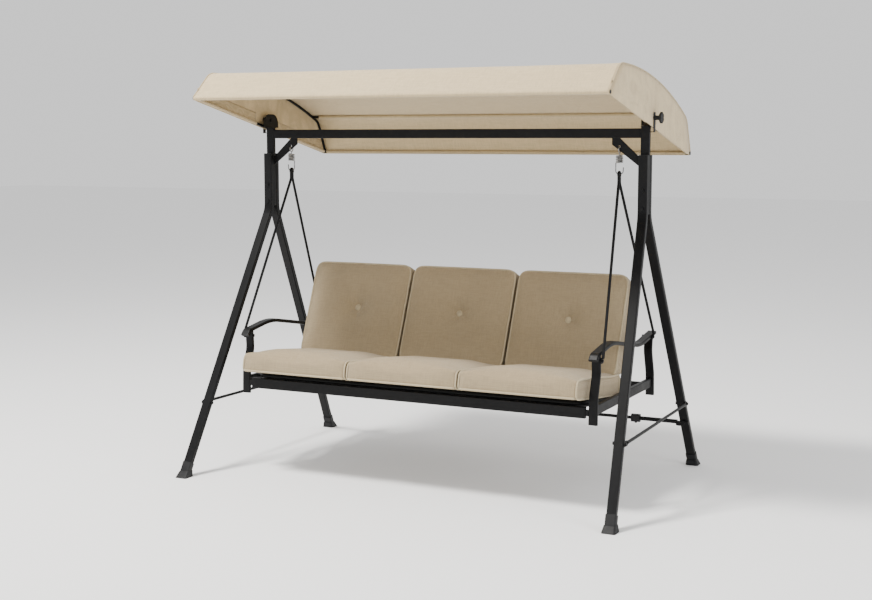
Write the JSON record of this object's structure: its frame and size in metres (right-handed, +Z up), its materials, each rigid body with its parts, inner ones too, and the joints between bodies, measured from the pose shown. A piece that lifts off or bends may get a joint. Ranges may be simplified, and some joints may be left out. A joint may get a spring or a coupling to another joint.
{
  "type": "canopy swing bench",
  "caption": "Garden swing bench with an A-frame stand, tilting fabric canopy, sprung hanging seat, padded seat and back cushions, and a back that folds down.",
  "frame": {"origin": "on the floor, in the middle of the four feet", "axes": "+X along the bench to the sitter's left-hand side as seen from the front right, -Y the front that the sitter faces, +Z up"},
  "size_m": [2.053, 1.299, 1.7866],
  "materials": {
    "frame_paint": "charcoal satin powder coat",
    "zinc_steel": "bright zinc plating",
    "dark_plastic": "matt moulded plastic",
    "cushion_cloth": "matt woven polyester, beige",
    "canopy_cloth": "matt woven polyester, pale beige"
  },
  "bodies": {
    "stand": {"canopy_brackets": "frame_paint", "crossbar_collars": "dark_plastic", "frame_bolts": "frame_paint", "front_foot_left": "dark_plastic", "front_foot_right": "dark_plastic", "front_leg_left": "frame_paint", "front_leg_right": "frame_paint", "gussets": "frame_paint", "leg_plugs": "dark_plastic", "pivot_bolts": "frame_paint", "rear_crossbar_end_left": "frame_paint", "rear_crossbar_end_right": "frame_paint", "rear_crossbar_middle": "frame_paint", "rear_foot_left": "dark_plastic", "rear_foot_right": "dark_plastic", "rear_leg_left": "frame_paint", "rear_leg_right": "frame_paint", "side_stretcher_left": "frame_paint", "side_stretcher_right": "frame_paint", "top_beam": "frame_paint", "top_post_left": "frame_paint", "top_post_right": "frame_paint"},
    "canopy": {"canopy_end_frame_left": "frame_paint", "canopy_end_frame_right": "frame_paint", "canopy_bars": "frame_paint", "canopy_fabric": "canopy_cloth", "canopy_plugs": "dark_plastic"},
    "knob_left": {"clamp_knob_left": "dark_plastic"},
    "knob_right": {"clamp_knob_right": "dark_plastic"},
    "springs": {"spring_left": "zinc_steel", "spring_right": "zinc_steel"},
    "seat": {"hanger_rod_left": "frame_paint", "hanger_rod_right": "frame_paint", "armrest_left": "frame_paint", "armrest_right": "frame_paint", "front_arm_post_left": "frame_paint", "front_arm_post_right": "frame_paint", "rear_arm_post_left": "frame_paint", "rear_arm_post_right": "frame_paint", "arm_plugs": "dark_plastic", "arm_bolts": "frame_paint", "base_side_rail_left": "frame_paint", "base_side_rail_right": "frame_paint", "base_front_rail": "frame_paint", "base_rear_rail": "frame_paint", "deck_frame": "frame_paint", "deck_slats": "frame_paint", "seat_cushion_left": "cushion_cloth", "seat_cushion_centre": "cushion_cloth", "seat_cushion_right": "cushion_cloth", "hinge_brackets": "frame_paint", "hinge_pins": "zinc_steel"},
    "back": {"back_frame": "frame_paint", "back_slats": "frame_paint", "back_cushion_left": "cushion_cloth", "back_cushion_centre": "cushion_cloth", "back_cushion_right": "cushion_cloth", "cushion_buttons": "cushion_cloth"},
    "stay": {"back_stay": "frame_paint"}
  },
  "joints": [
    {"name": "canopy_tilt", "type": "hinge", "parent": "stand", "child": "canopy", "pos_m": [0, 0, 1.583], "axis": [1, 0, 0], "range_deg": [-10, 30]},
    {"name": "knob_left_turn", "type": "hinge", "parent": "stand", "child": "knob_left", "pos_m": [-0.965, 0, 1.583], "axis": [-1, 0, 0], "continuous": true},
    {"name": "knob_right_turn", "type": "hinge", "parent": "stand", "child": "knob_right", "pos_m": [0.965, 0, 1.583], "axis": [1, 0, 0], "continuous": true},
    {"name": "seat_swing", "type": "hinge", "parent": "stand", "child": "springs", "pos_m": [0, 0, 1.465], "axis": [1, 0, 0], "range_deg": [-20, 20]},
    {"name": "seat_bounce", "type": "slide", "parent": "springs", "child": "seat", "axis": [0, 0, 1], "range_m": [-0.025, 0.012], "stiffness_N_per_m": 20000, "springref_m": 0.03409, "deforming": ["spring_left", "spring_right"]},
    {"name": "back_fold", "type": "hinge", "parent": "seat", "child": "back", "pos_m": [0, 0.112, 0.402], "axis": [-1, 0, 0], "range_deg": [0, 60]},
    {"name": "stay_fold", "type": "hinge", "parent": "back", "child": "stay", "pos_m": [0, 0.18636, 0.56062], "axis": [-1, 0, 0], "range_deg": [-103, 0]}
  ],
  "couplings": [
    {"joint": "stay_fold", "follows": "back_fold", "ratio": -1.715}
  ]
}
